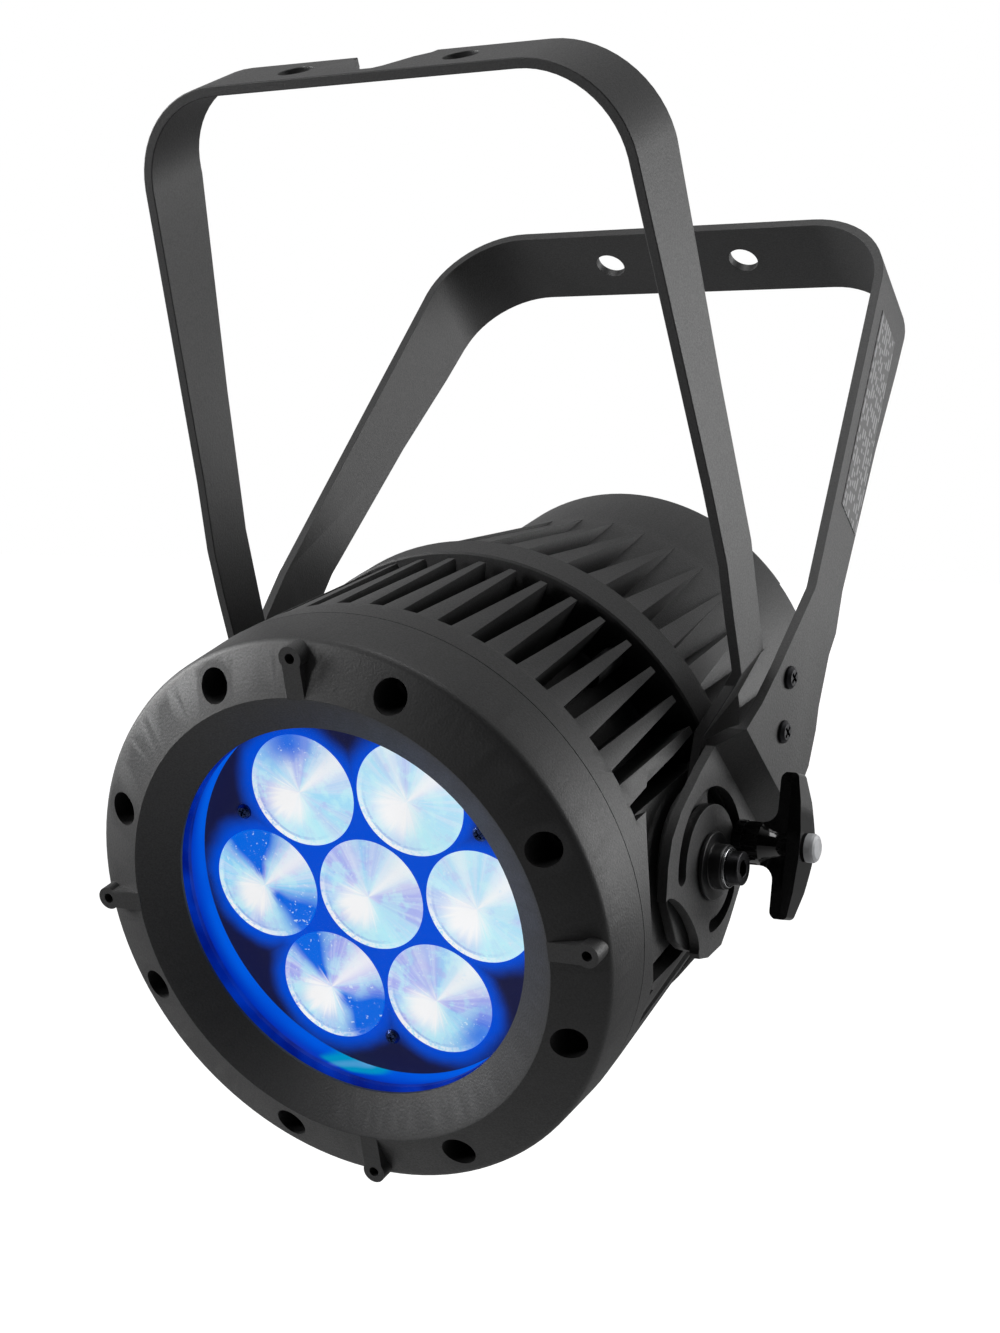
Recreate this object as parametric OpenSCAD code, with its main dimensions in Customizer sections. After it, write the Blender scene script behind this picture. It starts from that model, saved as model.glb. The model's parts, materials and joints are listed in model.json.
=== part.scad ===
// Zoom par can light with two nested tilting yokes, hung from the outer yoke.
// Optical distances run from the front ridge of the bezel towards the rear.

/* [Pose] */
// Downward tilt of the lamp's front, degrees
lamp_tilt = 15; // [10:1:20]
// Lean of the outer yoke towards the rear, degrees
outer_lean = 40; // [38:1:44]
// Lean of the inner yoke towards the front, degrees
inner_lean = 21; // [15:1:25]

/* [Bezel and window] */
// Outside diameter of the bezel and front housing
bezel_d = 222; // [221:0.5:223]
// Diameter of the bezel's front ridge
ridge_d = 180; // [178:1:182]
// Diameter of the clear window
window_d = 150; // [148:1:152]
// Distance from the ridge to the joint between bezel and housing
joint_at = 34; // [33.5:0.5:34.5]
// Pitch circle radius of the bezel screws
bezel_screw_r = 99; // [98.5:0.5:99.5]
// Number of bezel screws
bezel_screws_n = 8; // [8]
// Radius at which the accessory posts sit
post_r = 105; // [104.5:0.5:105.5]

/* [Front housing] */
// Distance from the ridge to the front ends of the cooling slots
slot_from = 47.2; // [46.8:0.1:48]
// Distance from the ridge to the free ends of the fins
fin_end = 118.5; // [117:0.5:119]
// Number of fin pitches round the housing
fin_n = 48; // [48]
// Turn of the ring of slots from the vertical, degrees
slot_phase = 0.8; // [0:0.1:1]
// Width of a slot at its front end
slot_w_front = 6; // [5.5:0.1:6.5]
// Width of a slot at its open rear end
slot_w_rear = 11; // [10.5:0.1:11.5]
// Outside radius of the core that the fins stand on
core_r = 85; // [84.5:0.5:85]

/* [Rear cover] */
// Radius of the flange that meets the front housing
flange_r = 106.8; // [106.5:0.1:107.5]
// Radius of the ribbed rear drum
drum_r = 87.5; // [87:0.5:88]
// Distance from the ridge to the rear rim
rim_at = 278; // [278]
// Number of buttress ribs
rib_n = 36; // [36]
// Distance from the ridge to the point where the ribs sink into the drum
rib_end = 250; // [245:1:255]

/* [Optics] */
// Distance from the ridge to the lens plate's front face, at rest
lens_plate_at = 27; // [27:0.5:27.5]
// Pitch between neighbouring lenses
lens_pitch = 47.5; // [47:0.5:47.5]
// Diameter of one lens
lens_d = 45.5; // [44.5:0.5:45.5]
// Radius at which the lead screw and the guide rods run
slide_r = 60.5; // [60:0.5:61]

/* [Yokes] */
// Height of the outer yoke above the pivot
outer_h = 325; // [325:1:330]
// Width of the outer yoke's strip at its top
outer_w = 40; // [38:1:40]
// Height of the inner yoke above the pivot
inner_h = 302; // [300:1:303]
// Width of the inner yoke's strip at its top
inner_w = 31; // [30:1:32]
// Distance from the pivot to the inner yoke's near edge
inner_set_back = 36; // [36:0.5:37]
// Thickness of both yokes
yoke_t = 4; // [4]
// Outside corner radius of both yokes
yoke_corner_r = 42; // [40:1:44]
// Diameter of the clamp holes
clamp_hole_d = 14; // [13:0.5:15]
// Distance of the side clamp holes from the middle
side_hole_x = 34.5; // [33:0.5:36]
// Radius of the knob's path round the pivot
knob_path_r = 27; // [27]
// Diameter of the knob's threaded stud
stud_d = 6; // [6]

/* [Knobs] */
// Length of the knob's cross bar
knob_l = 57; // [54:1:60]
// Width of the cross bar's outer face at its middle
knob_t = 16; // [15:0.5:17]
// Turn of the cross bar from upright, degrees
knob_turn = 27; // [20:1:32]

/* [Hidden] */
$fn = 96;

run_gap = 0.05;             // radial clearance of a running fit
body_gap = 0.3;             // clearance between bodies that pass each other

// Pivot, seen from the optics: distance behind the ridge and drop below the optical axis
pivot_back = 95;
axis_rise = 7.6;

// Distances along the optical axis
window_edge_at = 9.1;
glass_at = 10.3;
glass_t = 4;
gasket_t = 2;
seal_t = 0.8;
floor_at = 80;
floor_t = 10;
board_t = 2;
flange_at = 121.5;
flange_t = 16.5;
panel_at = 270;
panel_t = 3;

// Boards inside the rear cover
corner_angles = [45, 135, 225, 315];
cover_fix_r = 92;
board_fix_r = 66;
driver_at = 132;
supply_at = 165;
pcb_t = 1.6;
board_at = panel_at - 12;
board_corners = [for (x = [-36, 36], y = [-40, 4]) [x, y]];

// Rear panel: buttons, and sockets as [across, down, hole radius]
panel_screw_angles = [30 : 60 : 330];
panel_screw_r = 73.5;
button_x = [-27, -9, 9, 27];
button_r = 4;
button_y = -4;
socket_places = [[-48, 22, 11], [-19, 34, 9], [19, 34, 9], [48, 22, 11]];
vent_y = 58;
eye_y = -60;

// Radii
bezel_r = bezel_d / 2;
ridge_r = ridge_d / 2;
window_r = window_d / 2;
bore_r = 80;                // inside of the front housing
drum_bore_r = 80.5;         // inside of the rear cover
barrel_r = 78;
rib_foot_r = 84;            // ribs sink below the drum's surface here
rib_foot_half = 7.1;        // half width of a rib's foot at the flange
rib_top_half = 4.4;         // half width of a rib's crest at the flange

// Distances out from the middle, along the pivot axis
pad_x = 100.5;              // flat pad on the housing
pad_r = 54;                 // round recess that clears the yokes' ends
disc_t = 1.2;
inner_plate_x = 106;        // outer face of the inner yoke's end plate
middle_disc_t = 0.7;
outer_plate_x = 111;        // outer face of the outer yoke's end plate
bush_x = outer_plate_x + body_gap;
knob_x = 115;               // start of the knob's hub
bar_x = 127.5;              // underside of the knob's cross bar
bar_end_x = 137.5;          // outer face of the cross bar at its ends
bar_top_x = 140;            // outer face of the cross bar at its middle

// Accessory posts on the bezel
post_bar_w = 7.5;
post_boss_r = 4.6;

// Screws, threads and rods
m3_r = 1.5;
m4_r = 2;
m5_r = 2.5;
rod_r = 2.5;
lead_screw_r = 3;
pivot_bolt_r = 5;
pivot_thread_r = 4;
bolt_head_x = 119.2;        // underside of the pivot bolt's head
locating_r = 84.2;          // shoulder that the bezel and the barrel sit in
stud_r = stud_d / 2;
knob_angle = -4;            // direction of the knob from the pivot, up from straight back

pivot_pos = [0, -outer_h * sin(outer_lean), -outer_h * cos(outer_lean)];

// ---------------------------------------------------------------- frames

module at_outer() {
    translate(pivot_pos) rotate([-outer_lean, 0, 0]) children();
}

module at_inner() {
    translate(pivot_pos) rotate([inner_lean, 0, 0]) children();
}

module at_lamp() {
    translate(pivot_pos) rotate([lamp_tilt, 0, 0]) children();
}

// Z runs along the optical axis from the ridge to the rear, X is across and Y points down
module at_optics(along = 0) {
    at_lamp() translate([0, along - pivot_back, axis_rise]) rotate([-90, 0, 0]) children();
}

// Puts children at angle a round the optical axis, counted from the top
module round_axis(a, r) {
    rotate([0, 0, a - 90]) translate([r, 0, 0]) children();
}

module both_sides() {
    children();
    mirror([1, 0, 0]) children();
}

// Z points out along the pivot axis on the +X side, X points forward and Y points up
module on_pivot(x) {
    translate([x, 0, 0]) rotate([90, 0, 90]) children();
}

module on_knob(x) {
    rotate([knob_angle, 0, 0]) translate([0, knob_path_r, 0]) rotate([-knob_angle, 0, 0])
        on_pivot(x) children();
}

// ---------------------------------------------------------------- helpers

module ring(r_out, r_in, h) {
    difference() {
        cylinder(r = r_out, h = h);
        translate([0, 0, -1]) cylinder(r = r_in, h = h + 2);
    }
}

// Pan head screw, head on +Z from zero, shank below
module pan_screw(head_r, head_h, shank_r, shank_l) {
    difference() {
        rotate_extrude()
            polygon([[0, 0], [head_r, 0], [head_r, head_h * 0.45], [head_r * 0.7, head_h], [0, head_h]]);
        for (a = [0, 90])
            rotate([0, 0, a]) translate([-head_r * 0.55, -head_r * 0.12, head_h * 0.45])
                cube([head_r * 1.1, head_r * 0.24, head_h]);
    }
    translate([0, 0, -shank_l]) cylinder(r = shank_r, h = shank_l);
}

// Socket head cap screw, head on +Z from zero, shank below
module cap_screw(head_r, head_h, shank_r, shank_l) {
    difference() {
        cylinder(r = head_r, h = head_h);
        translate([0, 0, head_h * 0.4]) cylinder(r = head_r * 0.55, h = head_h, $fn = 6);
    }
    translate([0, 0, -shank_l]) cylinder(r = shank_r, h = shank_l);
}

// Offset of a polyline to its right by t, with mitred corners
function unit(v) = v / norm(v);
function right_of(v) = [v[1], -v[0]];
function seg_n(p, i) = right_of(unit(p[i + 1] - p[i]));
function offset_point(p, i, t) =
    i == 0 ? p[0] + t * seg_n(p, 0) :
    i == len(p) - 1 ? p[i] + t * seg_n(p, i - 1) :
    let (a = seg_n(p, i - 1), b = seg_n(p, i)) p[i] + t * (a + b) / (1 + a * b);
function offset_line(p, t) = [for (i = [0 : len(p) - 1]) offset_point(p, i, t)];
function reversed(p) = [for (i = [len(p) - 1 : -1 : 0]) p[i]];

// Half outline of a yoke from its top middle down: [x, height]
corner_turn = 84;
function corner_point(h, corner_x, a) =
    [corner_x + yoke_corner_r * sin(a), h - yoke_corner_r + yoke_corner_r * cos(a)];
function yoke_line(h, corner_x, shoulder, knee, plate_x, plate_top) = concat(
    [[0, h]],
    [for (a = [0 : 6 : corner_turn]) corner_point(h, corner_x, a)],
    [shoulder, knee, [plate_x, plate_top], [plate_x, -60]]);

outer_corner_x = 74;
outer_shoulder = [128.5, 118];
outer_knee = [122.8, 43.5];
outer_line = yoke_line(outer_h, outer_corner_x, outer_shoulder, outer_knee, outer_plate_x, 36.6);
inner_line = yoke_line(inner_h, 65.5, [119.3, 110], [119, 65], inner_plate_x, 45);

// Bent strip along the outline, far wider than the yoke
module bent_sheet(line) {
    both_sides() rotate([90, 0, 0])
        linear_extrude(height = 240, center = true)
            polygon(concat(line, reversed(offset_line(line, yoke_t))));
}

// Side outline [distance back, height] pushed through both arms
module side_cut(points) {
    rotate([90, 0, 90]) linear_extrude(height = 400, center = true) polygon(points);
}

// Slot of width w that follows a circle of radius r from angle a to b, counted from up towards back
module arc_slot(r, w, a, b, depth) {
    rotate([90, 0, 90]) translate([0, 0, -depth / 2]) {
        rotate([0, 0, 90 - b]) rotate_extrude(angle = b - a)
            translate([r - w / 2, 0]) square([w, depth]);
        for (end = [a, b])
            rotate([0, 0, 90 - end]) translate([r, 0, 0])
                rotate([0, 0, end == a ? -90 : 90]) cylinder(d = w, h = depth);
    }
}

// ---------------------------------------------------------------- outer yoke

// Scallop in the lower edge of the end plate
arc_points = [for (t = [0 : 15 : 180]) [-7.5 - 19.5 * cos(t), -32 + 6.8 * sin(t)]];

outer_side = concat(
    [[-outer_w / 2, 400], [-outer_w / 2, 120], [-23.5, 77], [-26, 58], [-30, 43.5], [-27.5, 36.6],
     [-31.5, 24.5], [-34.7, 12], [-37.4, 1.5], [-37.7, -11.3], [-34, -21], [-28.5, -29.5]],
    arc_points,
    [[14, -33], [21, -28.5], [29, -18.5], [30, -7], [30, 20], [30.5, 66], [25, 80], [20, 88],
     [12, 108], [8.5, 138], [10.2, 166], [13, 217], [outer_w / 2 - 1.7, 266], [outer_w / 2, 290],
     [outer_w / 2, 400]]);

module clamp_hole(x) {
    translate([x, 0, outer_h - 20]) cylinder(d = clamp_hole_d, h = 40);
}

module outer_yoke() {
    color("#47474a") at_outer() difference() {
        intersection() {
            bent_sheet(outer_line);
            side_cut(outer_side);
        }
        for (x = [-side_hole_x, 0, side_hole_x]) clamp_hole(x);
        both_sides() {
            translate([90, 0, 0]) rotate([0, 90, 0]) cylinder(r = pivot_bolt_r + run_gap, h = 40);
            // Slot for the knob's stud, and a short one beside it
            translate([outer_plate_x, 0, 0]) {
                arc_slot(knob_path_r, stud_d + 0.8, -130, 46, 20);
                arc_slot(knob_path_r - 3.5, 5.2, 82, 138, 20);
            }
            for (p = yoke_screw_at) on_arm(p) translate([0, 0, -10]) cylinder(r = m5_r, h = 20);
        }
    }
}

// Two screws on each arm: [distance back, height]
yoke_screw_at = [[-13, 79.5], [-1.5, 61.5]];
nut_plate_at = [-7, 70.5];
nut_plate_t = 0.9;

// Lean of the arm's outer face below and above the shoulder
lower_slope = atan((outer_shoulder[0] - outer_knee[0]) / (outer_shoulder[1] - outer_knee[1]));
outer_corner = corner_point(outer_h, outer_corner_x, corner_turn);
upper_slope = atan((outer_shoulder[0] - outer_corner[0]) / (outer_corner[1] - outer_shoulder[1]));

// Z points out of the outer yoke's lower arm at p, and X points down the arm
module on_arm(p) {
    translate([outer_knee[0] + (p[1] - outer_knee[1]) * tan(lower_slope), p[0], p[1]])
        rotate([0, 90 + lower_slope, 0]) children();
}

module yoke_screws() {
    color("#2c2c2e") at_outer() both_sides()
        for (p = yoke_screw_at) on_arm(p) pan_screw(4.6, 2.2, m5_r, yoke_t + nut_plate_t);
}

// Thin tapped plates behind the arms
module yoke_nut_plates() {
    color("#3c3c3e") at_outer() both_sides() difference() {
        on_arm(nut_plate_at) translate([-14, -12, -yoke_t - nut_plate_t]) cube([28, 24, nut_plate_t]);
        for (p = yoke_screw_at) on_arm(p) translate([0, 0, -10]) cylinder(r = m5_r, h = 20);
    }
}

// Blank data label on the right arm
module rating_label() {
    label_top = 275;
    color("#9a9a9c") at_outer()
        translate([outer_shoulder[0] - (label_top - outer_shoulder[1]) * tan(upper_slope), 0, label_top])
            rotate([0, 90 - upper_slope, 0]) translate([0, -12, 0]) cube([108, 21, 0.3]);
}

// ---------------------------------------------------------------- inner yoke

near = inner_set_back;
far = inner_set_back + inner_w;

inner_side = concat(
    [[near, 400], [near, 140], [near - 2, 90], [near - 2, 60], [8, 33]],
    [for (a = [75 : 15 : 195]) [31 * cos(a), 31 * sin(a)]],
    [for (a = [210 : 15 : 330]) [33.5 * cos(a), 33.5 * sin(a)]],
    [[56, 38], [58, 80], [63, 172], [far + 3.5, 262], [far, 300], [far, 400]]);

module inner_yoke() {
    color("#4b4b4e") at_inner() difference() {
        intersection() {
            bent_sheet(inner_line);
            side_cut(inner_side);
        }
        for (s = [-1, 1]) translate([s * 36, (near + far) / 2, inner_h - 20])
            cylinder(d = clamp_hole_d, h = 40);
        // Open hanging notch in the rear edge of the top
        translate([0, 0, inner_h - 20]) linear_extrude(height = 40) polygon([
            [-18, far + 5], [-17, far - 4], [-12, far - 9], [-5.5, near + 9], [-3, near + 6.5],
            [3, near + 6.5], [5.5, near + 9], [12, far - 9], [17, far - 4], [18, far + 5]]);
        both_sides() {
            translate([90, 0, 0]) rotate([0, 90, 0]) cylinder(r = pivot_bolt_r + run_gap, h = 40);
            translate([inner_plate_x, 0, 0]) arc_slot(knob_path_r, stud_d + 0.8, 44, 160, 20);
        }
    }
}

// Friction discs between the two yokes' end plates
module inner_yoke_discs() {
    color("#1b1b1b") at_inner() both_sides() on_pivot(inner_plate_x)
        ring(14, pivot_bolt_r + run_gap, middle_disc_t);
}

// ---------------------------------------------------------------- bezel

module bezel_shell() {
    rotate_extrude(convexity = 6) polygon([
        [window_r, window_edge_at], [ridge_r - 0.8, 0.3], [ridge_r, 0], [ridge_r + 0.8, 0.2],
        [bezel_r - 2.6, 7], [bezel_r - 1.2, 8.2], [bezel_r - 0.7, 9.8],
        [bezel_r, joint_at - 0.4], [bezel_r - 5, joint_at - 0.4], [bezel_r - 6, 16],
        [ridge_r + 4, 11], [ridge_r - 4, 11], [81.5, 18], [80, 18], [80, glass_at],
        [window_r, glass_at]]);
}

// Radial bar and round post for accessories, flush with the ridge
module accessory_post(bar_h, post_h) {
    translate([ridge_r - 0.5, -post_bar_w / 2, 0]) cube([post_r - ridge_r, post_bar_w, bar_h]);
    translate([post_r, 0, 0]) cylinder(r = post_boss_r, h = post_h);
}

module front_bezel() {
    color("#58595b") at_optics() difference() {
        union() {
            bezel_shell();
            intersection() {
                union() {
                    for (i = [0 : 3]) round_axis(90 * i, 0) accessory_post(9, 10);
                    for (i = [0 : bezel_screws_n - 1]) round_axis(22.5 + 45 * i, bezel_screw_r)
                        cylinder(r = 8.6, h = joint_at - 0.4);
                }
                rotate_extrude() polygon([[0, 0], [ridge_r, 0], [bezel_r - 1.2, 0],
                    [bezel_r - 0.7, 9.8], [bezel_r - 0.2, joint_at - 0.4], [0, joint_at - 0.4]]);
            }
        }
        // Screw towers stand behind the cone only
        for (i = [0 : bezel_screws_n - 1]) round_axis(22.5 + 45 * i, bezel_screw_r) {
            translate([0, 0, -1]) cylinder(r = 6.5, h = 21);
            translate([0, 0, 10]) cylinder(r = m5_r, h = 40);
        }
        difference() {
            rotate_extrude() polygon([[ridge_r, -1], [ridge_r, 0], [bezel_r - 2, 7.2],
                [bezel_r + 5, 7.2], [bezel_r + 5, -1]]);
            for (i = [0 : 3]) round_axis(90 * i, 0) translate([0, 0, -2]) accessory_post(30, 30);
        }
        for (i = [0 : 3]) round_axis(90 * i, post_r) translate([0, 0, -1]) cylinder(r = 2, h = 9);
    }
}

module bezel_screws() {
    color("#232325") at_optics()
        for (i = [0 : bezel_screws_n - 1]) round_axis(22.5 + 45 * i, bezel_screw_r)
            translate([0, 0, 20]) mirror([0, 0, 1]) cap_screw(4.25, 5, m5_r, 26);
}

module window_glass() {
    color("#cfe4ee", 0.35) at_optics(glass_at) cylinder(r = 79.6, h = glass_t);
}

module window_gasket() {
    color("#161616") at_optics(glass_at + glass_t) ring(79.8, window_r, gasket_t);
}

// ---------------------------------------------------------------- front housing

function is_slot(a) = abs(abs(a) - 90) > 14;

module front_housing() {
    color("#4d4e50") at_optics() difference() {
        union() {
            difference() {
                rotate_extrude(convexity = 6) polygon([
                    [locating_r, joint_at], [bezel_r, joint_at], [bezel_r - 0.6, slot_from - 2],
                    [bezel_r - 5.2, fin_end - 2], [bezel_r - 7.5, fin_end],
                    [core_r, fin_end], [core_r, flange_at], [bore_r, flange_at],
                    [bore_r, floor_at + floor_t], [0, floor_at + floor_t], [0, floor_at],
                    [bore_r, floor_at], [bore_r, 38], [locating_r, 38]]);
                for (i = [0 : fin_n - 1]) {
                    a = (i + 0.5) * 360 / fin_n;
                    angle = a > 180 ? a - 360 : a;
                    if (is_slot(angle)) round_axis(a + slot_phase, core_r + 1) cooling_slot();
                }
            }
            // Tapped bosses for the rear cover
            for (a = corner_angles) round_axis(a, cover_fix_r)
                translate([0, 0, 100]) cylinder(r = 4.6, h = flange_at - 100);
            pivot_lugs();
        }
        for (i = [0 : bezel_screws_n - 1]) round_axis(22.5 + 45 * i, bezel_screw_r)
            translate([0, 0, joint_at - 1]) cylinder(r = m5_r, h = 13);
        for (a = corner_angles) round_axis(a, cover_fix_r)
            translate([0, 0, 104]) cylinder(r = m4_r, h = 30);
        // Lead screw and guide rods pass the floor
        round_axis(180, slide_r) translate([0, 0, floor_at - 1]) cylinder(r = lead_screw_r + run_gap, h = 20);
        for (a = [60, 300]) round_axis(a, slide_r)
            translate([0, 0, floor_at - 1]) cylinder(r = rod_r, h = 9);
        pad_recess();
        translate([0, 0, flange_at - seal_t]) ring(84, 81.5, seal_t + 1);
    }
}

// One cooling slot, X outwards, Z to the rear
module cooling_slot() {
    rotate([90, 0, 90]) linear_extrude(height = 40) polygon([
        [-slot_w_front / 2, slot_from], [slot_w_front / 2, slot_from],
        [slot_w_rear / 2, fin_end - 1.5], [slot_w_rear / 2 + 1.2, fin_end + 1],
        [-slot_w_rear / 2 - 1.2, fin_end + 1], [-slot_w_rear / 2, fin_end - 1.5]]);
}

// Blocks that carry the knob's thread behind the fins
module pivot_lugs() {
    both_sides() {
        translate([core_r - 6, axis_rise - 20, fin_end - 8])
            cube([pad_x - core_r + 6, 40, flange_at - fin_end + 8 - 0.5]);
        translate([87, axis_rise - 20, fin_end]) cube([pad_x - 87, 40, 17]);
    }
}

// Flat round recess and bores on both sides, in the optics frame
module pad_recess() {
    both_sides() translate([0, axis_rise, pivot_back]) {
        translate([pad_x, 0, 0]) rotate([0, 90, 0]) cylinder(r = pad_r, h = 30);
        translate([84, 0, 0]) rotate([0, 90, 0]) cylinder(r = pivot_thread_r, h = 40);
        translate([0, -knob_path_r * sin(knob_angle), knob_path_r * cos(knob_angle)])
            translate([88, 0, 0]) rotate([0, 90, 0]) cylinder(r = stud_r + run_gap, h = 40);
    }
}

module pivot_bolts() {
    color("#2a2a2c") at_lamp() both_sides() {
        on_pivot(86) cylinder(r = pivot_thread_r, h = pad_x - 86);
        on_pivot(pad_x) cylinder(r = pivot_bolt_r, h = bolt_head_x - pad_x);
        on_pivot(bolt_head_x) difference() {
            cylinder(r = 6.5, h = 5);
            translate([0, 0, 2]) cylinder(r = 3.4, h = 5, $fn = 6);
        }
    }
}

module pivot_bushes() {
    color("#1a1a1a") at_lamp() both_sides() on_pivot(bush_x) {
        ring(13.3, pivot_bolt_r, 1.7);
        translate([0, 0, 1.7]) ring(8.7, pivot_bolt_r, 5);
    }
}

module pivot_washers() {
    color("#c8c9cb") at_lamp() both_sides() on_pivot(bush_x + 6.7) ring(7.8, pivot_bolt_r, 1.2);
}

module pad_discs() {
    color("#1b1b1b") at_lamp() both_sides() on_pivot(pad_x) ring(14, pivot_bolt_r, disc_t);
}

// ---------------------------------------------------------------- optics

module inner_barrel() {
    barrel_from = glass_at + glass_t + gasket_t;
    color("#3b3d42") at_optics() rotate_extrude(convexity = 4) polygon([
        [window_r, barrel_from], [barrel_r, barrel_from], [barrel_r, joint_at], [84, joint_at],
        [84, 38], [barrel_r, 38], [barrel_r, 62], [window_r, 62]]);
}

lens_places = concat([[0, 0]], [for (i = [0 : 5]) [30 + 60 * i, lens_pitch]]);

module led_board() {
    color("#20242b") at_optics(floor_at - board_t) difference() {
        cylinder(r = 76, h = board_t);
        for (a = [60, 180, 300]) round_axis(a, slide_r)
            translate([0, 0, -1]) cylinder(r = 4, h = 5);
    }
}

module led_emitters() {
    color("#e8f0ff") at_optics(floor_at - board_t)
        for (p = lens_places) round_axis(p[0], p[1]) {
            translate([-7, -7, -1.2]) cube([14, 14, 1.2]);
            translate([0, 0, -1.2]) mirror([0, 0, 1]) rotate_extrude()
                polygon(concat([[0, 0]], [for (t = [0 : 10 : 90]) [4.6 * cos(t), 3 * sin(t)]]));
        }
}

module guide_rods() {
    color("#c0c2c4") at_optics(44)
        for (a = [60, 300]) round_axis(a, slide_r) cylinder(r = rod_r, h = floor_at + 8 - 44);
}

module lead_screw() {
    color("#b5b7ba") at_optics(44) round_axis(180, slide_r) cylinder(r = lead_screw_r, h = 60);
}

module zoom_motor() {
    color("#2b2b2e") at_optics(floor_at + floor_t) round_axis(180, slide_r) difference() {
        union() {
            cylinder(r = 13, h = 24);
            translate([-4, -15.5, 6]) cube([8, 31, 12]);
        }
        translate([0, 0, -1]) cylinder(r = lead_screw_r + run_gap, h = 16);
    }
}

module lens_plate() {
    color("#141a2e") at_optics(lens_plate_at) difference() {
        cylinder(r = window_r - 1, h = 4);
        for (p = lens_places) round_axis(p[0], p[1])
            translate([0, 0, -1]) cylinder(d = lens_d, h = 6);
        for (a = [60, 180, 300]) round_axis(a, slide_r)
            translate([0, 0, -1]) cylinder(r = m3_r, h = 6);
    }
}

module zoom_lenses() {
    lens_r = lens_d / 2;
    color("#dff3ff", 0.5) at_optics(lens_plate_at)
        for (p = lens_places) round_axis(p[0], p[1]) rotate_extrude() polygon(concat(
            [for (t = [0 : 0.2 : 1]) [lens_r * t, -2.4 + 2.4 * t * t]],
            [[lens_r, 4], [lens_r - 1, 6], [11, 21], [0, 21]]));
}

module lead_nut() {
    color("#b08d4a") at_optics(lens_plate_at + 4) round_axis(180, slide_r)
        ring(6.5, lead_screw_r + run_gap, 25);
}

module guide_bushes() {
    color("#6a6c70") at_optics(lens_plate_at + 4)
        for (a = [60, 300]) round_axis(a, slide_r) ring(6, rod_r + run_gap, 25);
}

module carriage_screws() {
    color("#8b8d92") at_optics(lens_plate_at)
        for (a = [60, 180, 300]) round_axis(a, slide_r) mirror([0, 0, 1])
            pan_screw(3, 1.8, m3_r, 3.9);
}

// ---------------------------------------------------------------- rear cover

module housing_seal() {
    color("#161616") at_optics(flange_at - seal_t) ring(84, 81.5, seal_t);
}

// Pyramid rib, X outwards, Z to the rear. Its sides slope out to the foot and meet at the rear tip
module rib() {
    flange_back = flange_at + flange_t;
    length = rib_end - flange_back;
    rise = flange_r - 1.3 - rib_foot_r;
    spread = atan(rib_foot_half / length);
    side_lean = atan((rib_foot_half - rib_top_half) * cos(spread) / rise);
    intersection() {
        rotate([90, 0, 0]) linear_extrude(height = 30, center = true)
            polygon([[82, flange_back - 1], [rib_foot_r + rise, flange_back - 1],
                [rib_foot_r + rise, flange_back], [rib_foot_r, rib_end], [82, rib_end]]);
        translate([rib_foot_r, 0, rib_end]) rotate([spread, 0, 0]) rotate([0, 0, -side_lean])
            translate([-10, -40, -200]) cube([60, 40, 260]);
        translate([rib_foot_r, 0, rib_end]) rotate([-spread, 0, 0]) rotate([0, 0, side_lean])
            translate([-10, 0, -200]) cube([60, 40, 260]);
    }
}

module rear_cover() {
    flange_back = flange_at + flange_t;
    rim_round = 6;
    rim_gap_half = 32;
    color("#4a4b4d") at_optics() difference() {
        union() {
            rotate_extrude(convexity = 6) polygon(concat(
                [[drum_bore_r, flange_at], [flange_r - 0.8, flange_at], [flange_r, flange_at + 0.8],
                 [flange_r, flange_back - 1], [flange_r - 1, flange_back], [drum_r - 0.5, flange_back]],
                [for (t = [0 : 15 : 90]) [drum_r - rim_round + rim_round * cos(t),
                    rim_at - rim_round + rim_round * sin(t)]],
                [[78.5, rim_at], [78.5, panel_at], [71, panel_at], [71, panel_at - 4],
                 [drum_bore_r, panel_at - 8]]));
            for (i = [0 : rib_n - 1]) round_axis(360 / rib_n * i, 0) rib();
            for (a = panel_screw_angles) round_axis(a, panel_screw_r)
                translate([0, 0, panel_at - 12]) cylinder(r = 4, h = 12);
        }
        both_sides() {
            // Room for the yokes' end plates and for the lugs
            translate([pad_x, -90, flange_at - 1]) cube([30, 180, 52]);
            translate([86.7, axis_rise - 20.5, flange_at - 1]) cube([30, 41, 15.5]);
            // The rim is lower at the sides
            translate([0, 0, panel_at + panel_t]) rotate([0, 0, -rim_gap_half])
                rotate_extrude(angle = 2 * rim_gap_half) translate([76, 0]) square([20, 20]);
        }
        for (a = corner_angles) round_axis(a, cover_fix_r) {
            translate([0, 0, flange_at - 1]) cylinder(r = m4_r, h = 30);
            translate([0, 0, flange_back - 2]) cylinder(r = 4.2, h = 20);
        }
        for (a = panel_screw_angles) round_axis(a, panel_screw_r)
            translate([0, 0, panel_at - 10]) cylinder(r = m3_r, h = 12);
        translate([0, 0, panel_at - seal_t]) ring(77.8, 76.4, seal_t + 1);
    }
}

module rear_cover_screws() {
    color("#232325") at_optics(flange_at + flange_t - 2)
        for (a = corner_angles) round_axis(a, cover_fix_r) cap_screw(3.5, 4, m4_r, 27);
}

module driver_board() {
    color("#1e4a33") at_optics(driver_at) difference() {
        union() {
            cylinder(r = 74, h = pcb_t);
            for (x = [-38, -14, 10]) translate([x, -52, pcb_t]) cube([16, 14, 12]);
            for (p = [[-40, 30], [-15, 38], [12, 38]]) translate([p[0], p[1], pcb_t]) cylinder(r = 8, h = 22);
            translate([20, -10, pcb_t]) cube([34, 24, 16]);
            translate([-58, -18, pcb_t]) cube([26, 30, 10]);
        }
        for (a = corner_angles) round_axis(a, board_fix_r)
            translate([0, 0, -1]) cylinder(r = 1.6, h = 5);
    }
}

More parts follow.
